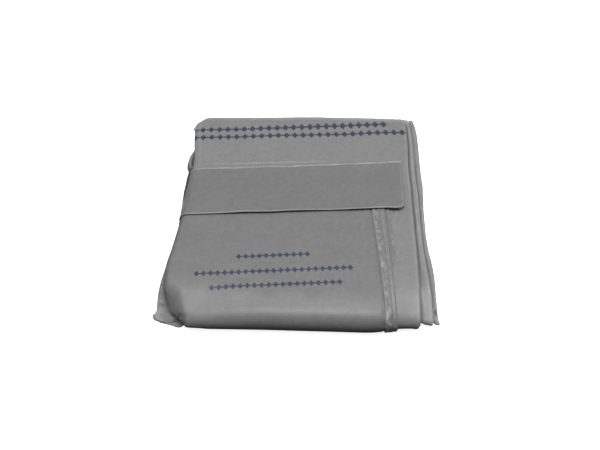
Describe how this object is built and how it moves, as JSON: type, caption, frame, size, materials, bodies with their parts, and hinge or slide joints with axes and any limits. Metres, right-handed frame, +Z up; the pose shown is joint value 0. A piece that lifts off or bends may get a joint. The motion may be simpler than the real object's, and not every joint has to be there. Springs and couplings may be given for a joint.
{
  "type": "appliance storage bag",
  "caption": "Cloth storage bag for a household appliance, folded into a flat packet, with a manual pocket and its flap on top.",
  "frame": {"origin": "middle of the packet's footprint, on the surface it rests on", "axes": "+X towards the side where the folds step out, +Y towards the open end, opposite the round front fold, +Z up through the layers"},
  "size_m": [0.2726, 0.323, 0.0296],
  "materials": {
    "bag_cloth": "coated woven polyester, light grey",
    "pocket_cloth": "coated woven polyester, light grey",
    "flap_cloth": "coated woven polyester, light grey, doubled"
  },
  "bodies": {
    "root": {"bag_body": "bag_cloth", "manual_pocket": "pocket_cloth", "pocket_flap": "flap_cloth"}
  },
  "joints": []
}
